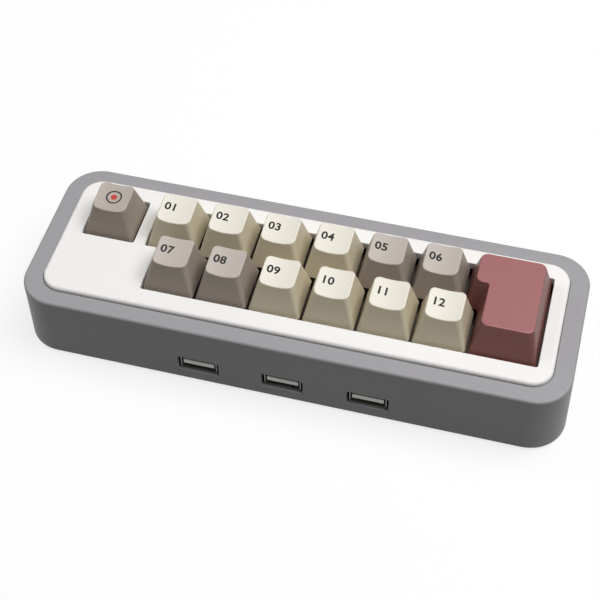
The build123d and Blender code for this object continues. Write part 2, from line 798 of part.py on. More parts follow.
with BuildPart() as stabiliser_guide:
    with BuildSketch(Plane.XY.offset(guide_under)):
        with Locations((guide_middle, 0)):
            Rectangle(guide_right - guide_left, 2 * guide_half_width)
    extrude(amount=-guide_under)
    with BuildSketch():
        with Locations((guide_middle, 0)):
            Rectangle(guide_right - guide_left + 2 * guide_flange, 2 * guide_half_width + 2 * guide_flange)
    extrude(amount=guide_height)
    with BuildSketch(Plane.XZ.offset(-clip_end)):
        with Locations(((guide_right + clip_right) / 2, clip_top / 2)):
            Rectangle(clip_right - guide_right, clip_top)
    extrude(amount=clip_end - clip_start)
    with BuildSketch(Plane.XZ.offset(-clip_end)):
        with Locations((wire_pivot_x, wire_pivot_z)):
            Circle(wire_radius + wire_fit)
    extrude(amount=clip_end - clip_start, mode=Mode.SUBTRACT)
    with BuildSketch(Plane.XY.offset(guide_cavity_floor)):
        Rectangle(guide_length + 2 * guide_gap, guide_depth + 2 * guide_gap)
    extrude(amount=guide_height - guide_cavity_floor, mode=Mode.SUBTRACT)
    with BuildSketch(Plane.XY.offset(well_floor)):
        Rectangle(2 * socket_radius + 2 * guide_gap, 2 * socket_radius + 2 * guide_gap)
    extrude(amount=guide_height - well_floor, mode=Mode.SUBTRACT)
    slot_bottom = wire_pivot_z - arm_drop
    with BuildSketch(Plane.XZ):
        with Locations((clip_right / 2, (slot_bottom + guide_height) / 2)):
            Rectangle(clip_right, guide_height - slot_bottom)
    extrude(amount=slot_half_width, both=True, mode=Mode.SUBTRACT)

with BuildPart() as stabiliser_guides:
    front_guide, back_guide = [(x, y, plate_top) for x, y in stabiliser_points]
    with Locations(front_guide):
        add(stabiliser_guide.part)
    with Locations(back_guide):
        add(stabiliser_guide.part.mirror(Plane.XZ))
finish(stabiliser_guides, "stabiliser_guides")

with BuildPart() as stabiliser_slider:
    with BuildSketch(Plane.XY.offset(guide_bottom)):
        Rectangle(guide_length, guide_depth)
    extrude(amount=slider_top - guide_bottom)
    with BuildSketch(Plane.XY.offset(slider_top)):
        cross_sketch(0)
    extrude(amount=cross_height)
    slot_low = wire_pivot_z + (wire_pivot_x - guide_length / 2) * tan(swing) - wire_half_height - wire_room
    slot_high = wire_pivot_z - (wire_pivot_x - guide_length / 2) * tan(swing)
    slot_high += key_travel + wire_half_height + wire_room
    slot_left = (wire_pivot_x + wire_tip) / cos(swing) - wire_pivot_x + wire_room
    with BuildSketch(Plane.XZ):
        with Locations(((guide_length / 2 - slot_left) / 2, (slot_low + slot_high) / 2)):
            Rectangle(guide_length / 2 + slot_left, slot_high - slot_low)
    extrude(amount=slot_half_width, both=True, mode=Mode.SUBTRACT)

with BuildPart() as stabiliser_sliders:
    with Locations(*[(x, y, plate_top) for x, y in stabiliser_points]):
        add(stabiliser_slider.part)
finish(stabiliser_sliders, "stabiliser_sliders")

with BuildPart() as bent_wire:
    tip_height = wire_pivot_z + (wire_pivot_x + wire_tip) * tan(swing)
    with BuildLine() as wire_path:
        FilletPolyline(
            (-wire_tip, -stabiliser_spacing, tip_height),
            (wire_pivot_x, -stabiliser_spacing, wire_pivot_z),
            (wire_pivot_x, stabiliser_spacing, wire_pivot_z),
            (-wire_tip, stabiliser_spacing, tip_height),
            radius=wire_bend_radius,
        )
    with BuildSketch(Plane(origin=wire_path.line @ 0, z_dir=wire_path.line % 0)):
        Circle(wire_radius)
    sweep()

with BuildPart() as stabiliser_wire:
    with Locations((enter_x, rows_y, plate_top)):
        add(bent_wire.part)
finish(stabiliser_wire, "stabiliser_wire")

# Port sockets, about the middle of the shell's mouth, with the case's inside towards +Y
port_inner_depth = port_shell_depth - port_shell_wall
port_block_start = port_inner_depth - port_block_depth
port_contact_start = port_tongue_recess + port_contact_setback

with BuildPart() as port_shell:
    with BuildSketch(Plane.XZ):
        RectangleRounded(port_shell_width, port_shell_height, port_shell_radius)
        RectangleRounded(
            port_shell_width - 2 * port_shell_wall,
            port_shell_height - 2 * port_shell_wall,
            port_shell_radius - port_shell_wall,
            mode=Mode.SUBTRACT,
        )
    extrude(amount=-port_inner_depth)
    with BuildSketch(Plane.XZ.offset(-port_inner_depth)):
        RectangleRounded(port_shell_width, port_shell_height, port_shell_radius)
    extrude(amount=-port_shell_wall)
    with BuildSketch(Plane.XY.offset(port_shell_radius - port_shell_height / 2)):
        with Locations(*[(side * port_leg_x, y) for side in (-1, 1) for y in port_leg_offsets]):
            Rectangle(port_shell_wall, port_leg_width)
    extrude(amount=-port_shell_radius - port_leg_length)

for number, x in enumerate(port_xs, start=1):
    with BuildPart() as placed_shell:
        with Locations((x, port_face_y, port_level)):
            add(port_shell.part)
    finish(placed_shell, f"port_shell_{number}")

with BuildPart() as port_tongue:
    block_inset = 2 * (port_shell_wall + port_block_gap)
    with BuildSketch(Plane.XZ.offset(-port_block_start)):
        RectangleRounded(
            port_shell_width - block_inset,
            port_shell_height - block_inset,
            port_shell_radius - block_inset / 2,
        )
    extrude(amount=-port_block_depth)
    with BuildSketch(Plane.XZ.offset(-port_tongue_recess)):
        with Locations((0, port_tongue_rise + port_tongue_thickness / 2)):
            Rectangle(port_tongue_width, port_tongue_thickness)
    extrude(amount=port_tongue_recess - port_block_start)

with BuildPart() as port_contact_set:
    with BuildSketch(Plane.XZ.offset(-port_contact_start)):
        with Locations(*[(x, port_tongue_rise - port_contact_thickness / 2) for x in port_contact_offsets]):
            Rectangle(port_contact_width, port_contact_thickness)
    extrude(amount=port_contact_start - port_block_start)

for node, single in {"port_tongues": port_tongue, "port_contacts": port_contact_set}.items():
    with BuildPart() as port_group:
        with Locations(*[(x, port_face_y, port_level) for x in port_xs]):
            add(single.part)
    finish(port_group, node)

# Inlet socket at the back of the hub board
inlet_inner_depth = inlet_depth - inlet_wall
with BuildPart() as inlet:
    with BuildSketch(Plane.XZ):
        SlotOverall(inlet_width, inlet_height)
        SlotOverall(inlet_width - 2 * inlet_wall, inlet_height - 2 * inlet_wall, mode=Mode.SUBTRACT)
    extrude(amount=inlet_inner_depth)
    with BuildSketch(Plane.XZ.offset(inlet_inner_depth)):
        SlotOverall(inlet_width, inlet_height)
    extrude(amount=inlet_wall)

with BuildPart() as inlet_core:
    inlet_room = 2 * (inlet_wall + inlet_block_gap)
    with BuildSketch(Plane.XZ.offset(inlet_inner_depth - inlet_block_depth)):
        SlotOverall(inlet_width - inlet_room, inlet_height - inlet_room)
    extrude(amount=inlet_block_depth)
    with BuildSketch(Plane.XZ.offset(inlet_tongue_recess)):
        Rectangle(inlet_tongue_width, inlet_tongue_thickness)
    extrude(amount=inlet_inner_depth - inlet_block_depth - inlet_tongue_recess)

for node, single in {"inlet_shell": inlet, "inlet_tongue": inlet_core}.items():
    with BuildPart() as placed_inlet:
        with Locations((0, inlet_face_y, inlet_level)):
            add(single.part)
    finish(placed_inlet, node)

# Link between the boards: a tall spacer block with square pins
with BuildPart() as link_body:
    with BuildSketch(Plane.XY.offset(hub_top)):
        with Locations((link_x, front_row_y)):
            Rectangle(link_body_width, link_pins * link_pin_pitch)
        with Locations(*link_points):
            Rectangle(link_pin_side + 2 * link_pin_fit, link_pin_side + 2 * link_pin_fit, mode=Mode.SUBTRACT)
    extrude(amount=board_under - hub_top)
finish(link_body, "board_link_body")

with BuildPart() as link_pin_row:
    with BuildSketch(Plane.XY.offset(hub_under - link_pin_tail)):
        with Locations(*link_points):
            Rectangle(link_pin_side, link_pin_side)
    extrude(amount=board_top - hub_under + 2 * link_pin_tail)
finish(link_pin_row, "board_link_pins")

# Chips: the key controller under the main board and the hub controller on its own board
with BuildPart() as key_controller:
    with BuildSketch(Plane.XY.offset(board_under)):
        with Locations((column_x(key_chip_units), front_row_y)):
            Rectangle(key_chip_side, key_chip_side)
    extrude(amount=-key_chip_thickness)
    chamfer(key_controller.faces().sort_by(Axis.Z)[0].edges(), chip_edge)
finish(key_controller, "key_controller")

with BuildPart() as hub_controller:
    with BuildSketch(Plane.XY.offset(hub_top)):
        with Locations((0, hub_chip_y)):
            Rectangle(hub_chip_length, hub_chip_width)
    extrude(amount=hub_chip_thickness)
    chamfer(hub_controller.faces().sort_by(Axis.Z)[-1].edges(), chip_edge)
finish(hub_controller, "hub_controller")


def driver_cross():
    """Crossed slots for the screwdriver."""
    Rectangle(driver_slot_length, driver_slot_width)
    Rectangle(driver_slot_width, driver_slot_length)


# Screws that hold the plate up to the cover
with BuildPart() as plate_screws:
    with BuildSketch(Plane.XY.offset(plate_under)):
        with Locations(*cover_boss_points):
            Circle(plate_screw_head_radius)
    extrude(amount=-plate_screw_head_height)
    with BuildSketch(Plane.XY.offset(plate_under)):
        with Locations(*cover_boss_points):
            Circle(plate_screw_radius)
    extrude(amount=plate_screw_length)
    with BuildSketch(Plane.XY.offset(plate_under - plate_screw_head_height)):
        with Locations(*cover_boss_points):
            driver_cross()
    extrude(amount=driver_slot_depth, mode=Mode.SUBTRACT)
finish(plate_screws, "plate_screws")

# Countersunk screws that hold the bottom cover to the case
with BuildPart() as base_screws:
    head_height = (base_screw_head_radius - base_screw_radius) / tan(radians(countersink_angle / 2))
    with BuildSketch(Plane.XY.offset(case_bottom)):
        with Locations(*case_boss_points):
            Circle(base_screw_radius)
    extrude(amount=base_screw_length)
    with Locations(*[(x, y, case_bottom) for x, y in case_boss_points]):
        Cone(
            base_screw_head_radius,
            base_screw_radius,
            head_height,
            align=(Align.CENTER, Align.CENTER, Align.MIN),
        )
    with BuildSketch(Plane.XY.offset(case_bottom)):
        with Locations(*case_boss_points):
            driver_cross()
    extrude(amount=driver_slot_depth, mode=Mode.SUBTRACT)
finish(base_screws, "base_screws")

# Screws that hold the hub board to its standoffs
with BuildPart() as hub_screws:
    with BuildSketch(Plane.XY.offset(hub_top)):
        with Locations(*hub_screw_points):
            Circle(hub_screw_head_radius)
    extrude(amount=hub_screw_head_height)
    with BuildSketch(Plane.XY.offset(hub_top)):
        with Locations(*hub_screw_points):
            Circle(hub_screw_radius)
    extrude(amount=-hub_screw_length)
    with BuildSketch(Plane.XY.offset(hub_top + hub_screw_head_height)):
        with Locations(*hub_screw_points):
            driver_cross()
    extrude(amount=-driver_slot_depth, mode=Mode.SUBTRACT)
finish(hub_screws, "hub_screws")

# Rubber feet, let into the bottom cover
with BuildPart() as rubber_feet:
    with BuildSketch():
        with Locations(*foot_points):
            Circle(foot_radius)
    extrude(amount=foot_proud + foot_sunk)
    fillet(rubber_feet.edges().group_by(Axis.Z)[0], foot_edge_radius)
finish(rubber_feet, "rubber_feet")
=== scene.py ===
# %% [markdown]
# # A macro keypad on a white table
# Every moulded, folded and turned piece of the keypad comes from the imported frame, at its real
# place and size. This lesson dresses those pieces: it sets the camera, mixes the plastics and
# metals, winds the springs, prints the key legends on the dished caps, and lights the table.
# Blender shifts none of the frame's pieces. It adds only wire, ink, finish and light.

# %% Load the frame
import json
from math import cos, pi, radians, sin

import bmesh
import bpy
from mathutils import Matrix, Vector
from mathutils.bvhtree import BVHTree


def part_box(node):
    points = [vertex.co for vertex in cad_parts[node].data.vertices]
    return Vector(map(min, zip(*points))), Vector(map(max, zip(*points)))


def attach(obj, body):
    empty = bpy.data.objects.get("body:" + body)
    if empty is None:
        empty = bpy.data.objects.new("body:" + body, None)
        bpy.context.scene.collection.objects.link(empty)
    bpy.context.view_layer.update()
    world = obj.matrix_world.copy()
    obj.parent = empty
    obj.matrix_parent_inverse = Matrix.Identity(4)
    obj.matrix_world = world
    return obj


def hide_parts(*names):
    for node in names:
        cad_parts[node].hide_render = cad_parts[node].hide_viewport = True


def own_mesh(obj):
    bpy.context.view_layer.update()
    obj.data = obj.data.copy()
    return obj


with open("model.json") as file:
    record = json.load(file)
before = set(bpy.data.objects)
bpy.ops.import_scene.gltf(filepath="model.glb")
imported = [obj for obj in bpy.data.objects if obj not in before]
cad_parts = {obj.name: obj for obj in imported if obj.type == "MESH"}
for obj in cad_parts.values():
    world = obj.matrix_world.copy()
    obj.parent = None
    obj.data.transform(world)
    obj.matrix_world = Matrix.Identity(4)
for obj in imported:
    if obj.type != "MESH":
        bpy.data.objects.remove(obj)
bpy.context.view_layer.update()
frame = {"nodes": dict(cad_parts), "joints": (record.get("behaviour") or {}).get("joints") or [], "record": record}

MM = 0.001

# %% [markdown]
# ## The camera
# The keypad is seen from the front right and well above, from about half a metre away with a
# long lens. A camera can be aimed with a Track To constraint, but here its three axes are built
# from the angle round the object, the angle above the table and a small roll, because the tilt of
# the picture is then one number that can be read.

# %% Camera
IMAGE_SIDE = 600
SENSOR_WIDTH = 36.0
FOCAL_PIXELS = 1380.9
CAMERA_AZIMUTH = radians(16.21)
CAMERA_ELEVATION = radians(51.87)
CAMERA_ROLL = radians(-1.74)
CAMERA_DISTANCE = 480.9 * MM
AIM_POINT = Vector((0.675, 0.25, 28.9)) * MM
AIM_ACROSS = -2.5 * MM
AIM_UP = -8.5 * MM
NEAREST_SEEN = 10 * MM

backward = Vector(
    (
        sin(CAMERA_AZIMUTH) * cos(CAMERA_ELEVATION),
        -cos(CAMERA_AZIMUTH) * cos(CAMERA_ELEVATION),
        sin(CAMERA_ELEVATION),
    )
)
level_right = Vector((cos(CAMERA_AZIMUTH), sin(CAMERA_AZIMUTH), 0))
level_up = backward.cross(level_right)
camera_right = cos(CAMERA_ROLL) * level_right + sin(CAMERA_ROLL) * level_up
camera_up = cos(CAMERA_ROLL) * level_up - sin(CAMERA_ROLL) * level_right
camera_place = AIM_POINT + AIM_ACROSS * camera_right + AIM_UP * camera_up + CAMERA_DISTANCE * backward

camera = bpy.data.objects.new("camera", bpy.data.cameras.new("camera"))
camera.data.sensor_width = SENSOR_WIDTH
camera.data.lens = FOCAL_PIXELS / IMAGE_SIDE * SENSOR_WIDTH
camera.data.clip_start = NEAREST_SEEN
camera.matrix_world = Matrix.Translation(camera_place) @ Matrix(
    (camera_right, camera_up, backward)
).transposed().to_4x4()
bpy.context.scene.collection.objects.link(camera)
bpy.context.scene.camera = camera
print("camera:", round(camera.data.lens, 1), "mm lens at", [round(x, 3) for x in camera_place])

# %% [markdown]
# ## Writing shaders as sums
# A finish is a tree of nodes, and most of those nodes only add and multiply. Wiring each one by
# hand hides the idea, so one small class wraps a socket and turns Python's own operators into
# Math nodes. A second class holds a tree and makes any other node in one call: its settings are
# set first, and then its sockets are given values or links.

# %% Shader helpers
WHITE = (1.0, 1.0, 1.0, 1.0)


class Value:
    """A number socket of a shader tree that can be added, taken away and multiplied."""

    def __init__(self, shader, socket):
        self.shader = shader
        self.socket = socket

    def math(self, operation, first, second):
        return self.shader.node("ShaderNodeMath", {"operation": operation}, {0: first, 1: second})

    def __add__(self, other):
        return self.math("ADD", self, other)

    def __sub__(self, other):
        return self.math("SUBTRACT", self, other)

    def __mul__(self, other):
        return self.math("MULTIPLY", self, other)

    def __rsub__(self, other):
        return self.math("SUBTRACT", other, self)

    __radd__ = __add__
    __rmul__ = __mul__


class Shader:
    """A node tree with one way to add a node."""

    def __init__(self, tree):
        self.tree = tree
        tree.nodes.clear()

    def node(self, kind, settings=None, inputs=None, output=0):
        made = self.tree.nodes.new(kind)
        for name, setting in (settings or {}).items():
            setattr(made, name, setting)
        for name, given in (inputs or {}).items():
            if isinstance(given, Value):
                self.tree.links.new(given.socket, made.inputs[name])
            else:
                made.inputs[name].default_value = given
        return Value(self, made.outputs[output]) if made.outputs else made

    def place(self, stretch=(1, 1, 1)):
        """The piece's own coordinates in metres, squeezed or stretched along its axes."""
        own = self.node("ShaderNodeTexCoord", output="Object")
        return self.node("ShaderNodeVectorMath", {"operation": "MULTIPLY"}, {0: own, 1: stretch})

    def noise(self, size, detail=2.0, stretch=(1, 1, 1)):
        """Soft noise from 0 to 1 with lumps of that size in metres."""
        return self.node(
            "ShaderNodeTexNoise",
            inputs={"Vector": self.place(stretch), "Scale": 1 / size, "Detail": detail},
        )

    def ease(self, value, low, high):
        """0 below low, 1 above high, and a smooth step between."""
        return self.node(
            "ShaderNodeMapRange",
            {"interpolation_type": "SMOOTHSTEP"},
            {"Value": value, "From Min": low, "From Max": high},
        )

    def mix(self, share, first, second):
        """A colour between two colours."""
        return self.node(
            "ShaderNodeMix", {"data_type": "RGBA"}, {"Factor": share, 6: first, 7: second}, output=2
        )

    def bump(self, height, depth):
        """A surface normal that leans with the height, which is that many metres deep."""
        return self.node("ShaderNodeBump", inputs={"Height": height, "Distance": depth})


def linear(red, green, blue):
    """Scene colour of an 8-bit display colour, by the sRGB curve."""
    shares = [x / 255 for x in (red, green, blue)]
    return (*[s / 12.92 if s < 0.04045 else ((s + 0.055) / 1.055) ** 2.4 for s in shares], 1.0)


def shaded(colour, factor):
    """The same colour, darker or lighter."""
    return (*[min(1.0, c * factor) for c in colour[:3]], 1.0)


def new_finish(name):
    """An empty material and its shader tree."""
    material = bpy.data.materials.new(name)
    material.use_nodes = True
    return material, Shader(material.node_tree)


def close_finish(shader, inputs):
    """Ends a tree with the principled surface that has these inputs."""
    surface = shader.node("ShaderNodeBsdfPrincipled", inputs=inputs)
    shader.node("ShaderNodeOutputMaterial", inputs={"Surface": surface})


print("shader helpers: ready")

# %% [markdown]
# ## Moulded plastic
# The case, the cover and the caps are moulded, and a mould's steel is spark-eroded, so the
# plastic carries a fine even grain. A flat colour would look like a toy in a viewport. Here a
# noise a fraction of a millimetre wide bends the normal and breaks up the gloss, and a second
# noise some centimetres wide lets the colour drift by a few percent, as pigment does. The caps'
# level tops are smoother than their sides, and their sides carry painted shade: a cap's finish
# looks at how upright each face is, gives the level tops the main colour and a lower roughness,
# and gives the leaning faces a darker side colour that stands in for the shade they fall into.
# The tongues in the ports look bright though they stand in shade, so they are glazed with a
# clear coat and a stronger shine, and catch more light.

# %% Moulded finishes
DRIFT_SIZE = 22 * MM
SMEAR_SIZE = 4 * MM
GRIT_GLOSS = 0.16
PLAIN_SHINE = 0.5
POLISH_AND_SHADE_FROM = 0.6
POLISH_AND_SHADE_FULL = 0.95


def moulded(
    name, colour, roughness, grain=0.22, depth=0.006, drift=0.03, side=None, polish=0.16, glaze=0.0
):
    """Grained plastic, with the grain's size and depth in millimetres. Where a side colour is given,
    only level tops have the main colour and are polished, and the leaning faces get the side
    colour, which is painted shade."""
    material, shader = new_finish(name)
    grit = shader.noise(grain * MM, detail=3.0)
    cloud = shader.noise(DRIFT_SIZE)
    skin = shader.mix(cloud, shaded(colour, 1 - drift), shaded(colour, 1 + drift))
    gloss = roughness + GRIT_GLOSS * (grit - 0.5)
    if side:
        normal = shader.node("ShaderNodeNewGeometry", output="Normal")
        upright = shader.node("ShaderNodeSeparateXYZ", inputs={0: normal}, output="Z")
        polish_and_shade_mask = shader.ease(upright, POLISH_AND_SHADE_FROM, POLISH_AND_SHADE_FULL)
        smears = shader.noise(SMEAR_SIZE, detail=4.0)
        gloss = gloss - polish * polish_and_shade_mask * smears
        # The side colour is painted shade: faces that lean away from level get it in place of the main colour.
        skin = shader.mix(polish_and_shade_mask, side, skin)
    close_finish(
        shader,
        {
            "Base Color": skin,
            "Roughness": gloss,
            "Specular IOR Level": PLAIN_SHINE * (1 + glaze),
            "Coat Weight": glaze,
            "Normal": shader.bump(grit, depth * MM),
        },
    )
    return material


finishes = {
    "case": moulded("satin_grey_case", linear(150, 148, 151), 0.5, grain=0.3, depth=0.008),
    "cover": moulded(
        "warm_white_cover", linear(238, 236, 234), 0.42, grain=0.25, depth=0.005, drift=0.012
    ),
    # The caps' side colours are painted shade, darker than their tops.
    "cap_cream": moulded("cream_keycap", linear(229, 224, 212), 0.5, side=linear(202, 192, 167)),
    "cap_taupe": moulded("taupe_keycap", linear(184, 175, 167), 0.5, side=linear(153, 142, 131)),
    "cap_rose": moulded("rose_keycap", linear(154, 95, 95), 0.38, side=linear(111, 62, 57), polish=0.12),
    "switch_body": moulded("black_switch_plastic", linear(34, 34, 36), 0.45),
    "stem": moulded("brown_stem_plastic", linear(122, 82, 56), 0.34, depth=0.002),
    "tongue": moulded("port_tongue_plastic", linear(252, 248, 234), 0.22, depth=0.001, glaze=1.0),
    "inlet_tongue": moulded("inlet_tongue_plastic", linear(38, 38, 40), 0.4, depth=0.003),
    "chip": moulded("chip_resin", linear(30, 30, 32), 0.6, grain=0.12),
    "foot": moulded("soft_black_rubber", linear(36, 36, 36), 0.82, grain=0.5, depth=0.03),
}
print("moulded finishes:", ", ".join(sorted(finishes)))

# %% [markdown]
# ## Metals and boards
# The port shells are folded from nickel-plated sheet, the switch plate is anodised to a smoky
# dark, and the contacts are plated with gold. Sheet metal is rolled, so its fine scratches run
# one way: the same noise is stretched along one axis until its lumps become lines. The boards
# are green lacquer over copper, where a grid of cells shows through as slightly raised lands.

# %% Metal and board finishes
STAIN_SIZE = 5 * MM
STAIN_DARK = 0.9
STAIN_LIGHT = 1.04
STAIN_GLOSS = 0.1
LINE_GLOSS = 0.2
LINE_SQUEEZE = 0.04
ALONG_X = (LINE_SQUEEZE, 1, 1)
ALONG_Y = (1, LINE_SQUEEZE, 1)
ALONG_Z = (1, 1, LINE_SQUEEZE)
LAND_PITCH = 2.54 * MM
LAND_FROM = 0.28
LAND_FULL = 0.36
LAND_DEPTH = 0.03 * MM
LAND_SCATTER = 0.35
LACQUER_ROUGHNESS = 0.32
LACQUER_DRIFT = 0.1
LACQUER_DRIFT_SIZE = 3 * MM


def drawn_metal(name, colour, roughness, stretch, line=0.12, depth=0.002):
    """Bare metal with fine lines along the squeezed axis, their width and depth in millimetres."""
    material, shader = new_finish(name)
    lines = shader.noise(line * MM, detail=4.0, stretch=stretch)
    stain = shader.noise(STAIN_SIZE, detail=3.0)
    close_finish(
        shader,
        {
            "Base Color": shader.mix(stain, shaded(colour, STAIN_DARK), shaded(colour, STAIN_LIGHT)),
            "Roughness": roughness + LINE_GLOSS * (lines - 0.5) + STAIN_GLOSS * (stain - 0.5),
            "Metallic": 1.0,
            "Normal": shader.bump(lines, depth * MM),
        },
    )
    return material


def lacquered_board(name, lacquer, land):
    """Solder lacquer with the copper lands showing through it."""
    material, shader = new_finish(name)
    cells = shader.node(
        "ShaderNodeTexVoronoi",
        {"distance": "CHEBYCHEV", "feature": "F1"},
        {"Vector": shader.place(), "Scale": 1 / LAND_PITCH, "Randomness": LAND_SCATTER},
    )
    lands = 1 - shader.ease(cells, LAND_FROM, LAND_FULL)
    close_finish(
        shader,
        {
            "Base Color": shader.mix(lands, lacquer, land),
            "Roughness": LACQUER_ROUGHNESS + LACQUER_DRIFT * shader.noise(LACQUER_DRIFT_SIZE),
            "Normal": shader.bump(lands, LAND_DEPTH),
        },
    )
    return material


finishes["shell"] = drawn_metal("nickel_shell", linear(132, 130, 126), 0.36, ALONG_Y)
finishes["plate"] = drawn_metal("smoky_plate", linear(100, 92, 85), 0.42, ALONG_X)
finishes["spring"] = drawn_metal("drawn_wire", linear(200, 200, 202), 0.26, ALONG_Y)
finishes["screw"] = drawn_metal("screw_steel", linear(168, 168, 170), 0.34, ALONG_Z)
finishes["contact"] = drawn_metal("plated_contact", linear(226, 188, 110), 0.24, ALONG_Z)
finishes["board"] = lacquered_board("green_board", linear(24, 92, 54), linear(52, 132, 84))
print("finishes so far:", len(finishes))

# %% [markdown]
# ## Giving each piece its finish
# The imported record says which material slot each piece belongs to, so the finishes are kept in
# a dictionary with the same names and one loop hands them out. The meshes carry the smooth
# normals of the CAD surfaces, so curves already look round and edges already look crisp. The
# lone cap looks a shade darker than the other taupe ones, so it gets a tone of its own.

# %% Dress the pieces
for entry in frame["record"]["subparts"]:
    piece = frame["nodes"][entry["node"]]
    piece.data.materials.clear()
    piece.data.materials.append(finishes[entry["material_slot"]])
# Its side colour is painted shade as well.
darker_taupe = moulded("lone_taupe_keycap", linear(175, 165, 156), 0.5, side=linear(145, 134, 122))
frame["nodes"]["keycap_solo"].data.materials[0] = darker_taupe

# %% [markdown]
# ## Return springs
# Under each key stands a coil of thin wire that pushes it back up. The frame has a plain tube
# there, which gives the spring's place and length. A screw modifier could wind the wire, but a
# NURBS curve that climbs round the stem is easier to read: it has a closed turn at each end and
# an open pitch between, and a round bevel makes it wire. A spring stands on the case.

# %% Coil springs
COIL_TURNS = 9
TURN_POINTS = 16
COIL_RADIUS = 2.15 * MM
WIRE_RADIUS = 0.15 * MM
CLOSED_RISE = 0.32 * MM
END_ROOM = 0.02 * MM
WIRE_ROUNDNESS = 2
COIL_STEPS = 2
COIL_ORDER = 3

tube_low, tube_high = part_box("switch_springs")
tube_length = tube_high.z - tube_low.z
slides = [joint for joint in frame["joints"] if joint["type"] == "slide"]
travel = {joint["name"]: joint["range_m"][1] for joint in slides}
keys = sorted(name.removeprefix("stem_") for name in frame["nodes"] if name.startswith("stem_"))


def wire_level(turn):
    """Height of the wire's middle after a number of turns."""
    low = tube_low.z + WIRE_RADIUS + END_ROOM
    high = tube_high.z - WIRE_RADIUS - END_ROOM
    pitch = (high - low - 2 * CLOSED_RISE) / (COIL_TURNS - 2)
    climb = CLOSED_RISE + pitch * (turn - 1)
    first_turn = low + CLOSED_RISE * turn
    last_turn = high - CLOSED_RISE * (COIL_TURNS - turn)
    return min(max(low + climb, first_turn), last_turn)


def curve_to_mesh(name, outline):
    """Mesh of a curve, which is used up."""
    drawn = bpy.data.objects.new(name, outline)
    bpy.context.scene.collection.objects.link(drawn)
    evaluated = drawn.evaluated_get(bpy.context.evaluated_depsgraph_get())
    mesh = bpy.data.meshes.new_from_object(evaluated)
    bpy.data.objects.remove(drawn)
    mesh.materials.clear()
    return mesh


def coil_spring(key):
    """Wire coil round the stem of a key."""
    low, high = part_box(f"stem_{key}")
    middle = (low + high) / 2
    outline = bpy.data.curves.new(f"coil_{key}", "CURVE")
    outline.dimensions = "3D"
    outline.bevel_depth = WIRE_RADIUS
    outline.bevel_resolution = WIRE_ROUNDNESS
    outline.use_fill_caps = True
    outline.resolution_u = COIL_STEPS
    spline = outline.splines.new("NURBS")
    spline.points.add(COIL_TURNS * TURN_POINTS)
    spline.order_u = COIL_ORDER
    spline.use_endpoint_u = True
    for number, point in enumerate(spline.points):
        turn = number / TURN_POINTS
        around = Vector((cos(2 * pi * turn), sin(2 * pi * turn), 0)) * COIL_RADIUS
        point.co = (middle.x + around.x, middle.y + around.y, wire_level(turn), 1)
    mesh = curve_to_mesh(f"spring_{key}", outline)
    mesh.materials.append(finishes["spring"])
    spring = bpy.data.objects.new(f"spring_{key}", mesh)
    bpy.context.scene.collection.objects.link(spring)
    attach(spring, "case")
    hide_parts("switch_springs")
    1 - travel[f"press_{key}"] / tube_length
    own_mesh(spring)


for key in keys:
    coil_spring(key)
print("springs:", len(keys), "coils,", round(tube_length / MM, 2), "mm long")

# %% [markdown]
# ## Key legends
# Each single cap of the rows carries its number in dark ink at the upper left of its dished top.
# The ink could be painted with an image, but a thin mesh stays sharp at any distance. A text
# curve gives the outline, its mesh is cut into short edges so that it can bend, and each point
# is dropped onto the cap below it, so that the number follows the dish.

# %% Legend ink
INK_SINK = 0.05 * MM
INK_RISE = 0.012 * MM
INK_EDGE = 0.45 * MM
INK_CUTS = 4
WELD_GAP = 0.001 * MM
LEGEND_HEIGHT = 3.2 * MM
LEGEND_LEFT = -4.75 * MM
LEGEND_BASE = 0.1 * MM
LEGEND_STROKE = 0.125 * MM
LEGEND_SPACING = 1.06
DIGIT_SHARE = 0.727
DIGIT_STEPS = 4
BLOT_SIZE = 0.6 * MM
BLOT_DARK = 0.8
BLOT_LIGHT = 1.25
BLOT_GLOSS = 0.15
INK_ROUGHNESS = 0.55
INK_SHINE = 0.2
RAY_HEIGHT = 60 * MM


def inked(name, colour):
    """Ink that has sunk into the plastic, a little uneven in tone."""
    material, shader = new_finish(name)
    blot = shader.noise(BLOT_SIZE, detail=4.0)
    close_finish(
        shader,
        {
            "Base Color": shader.mix(blot, shaded(colour, BLOT_DARK), shaded(colour, BLOT_LIGHT)),
            "Roughness": INK_ROUGHNESS + BLOT_GLOSS * blot,
            "Specular IOR Level": INK_SHINE,
        },
    )
    return material


dark_ink = inked("dark_legend_ink", linear(34, 33, 34))
red_ink = inked("red_legend_ink", linear(190, 66, 58))


def cut_short(mesh):
    """Splits the long edges of a thin flat mesh, so that the ink can bend."""
    draft = bmesh.new()
    draft.from_mesh(mesh)
    bmesh.ops.remove_doubles(draft, verts=draft.verts, dist=WELD_GAP)
    for _ in range(INK_CUTS):
        long_edges = [edge for edge in draft.edges if edge.calc_length() > INK_EDGE]
        bmesh.ops.subdivide_edges(draft, edges=long_edges, cuts=1)
        bmesh.ops.triangulate(draft, faces=draft.faces)
    bmesh.ops.recalc_face_normals(draft, faces=draft.faces)
    draft.to_mesh(mesh)
    draft.free()


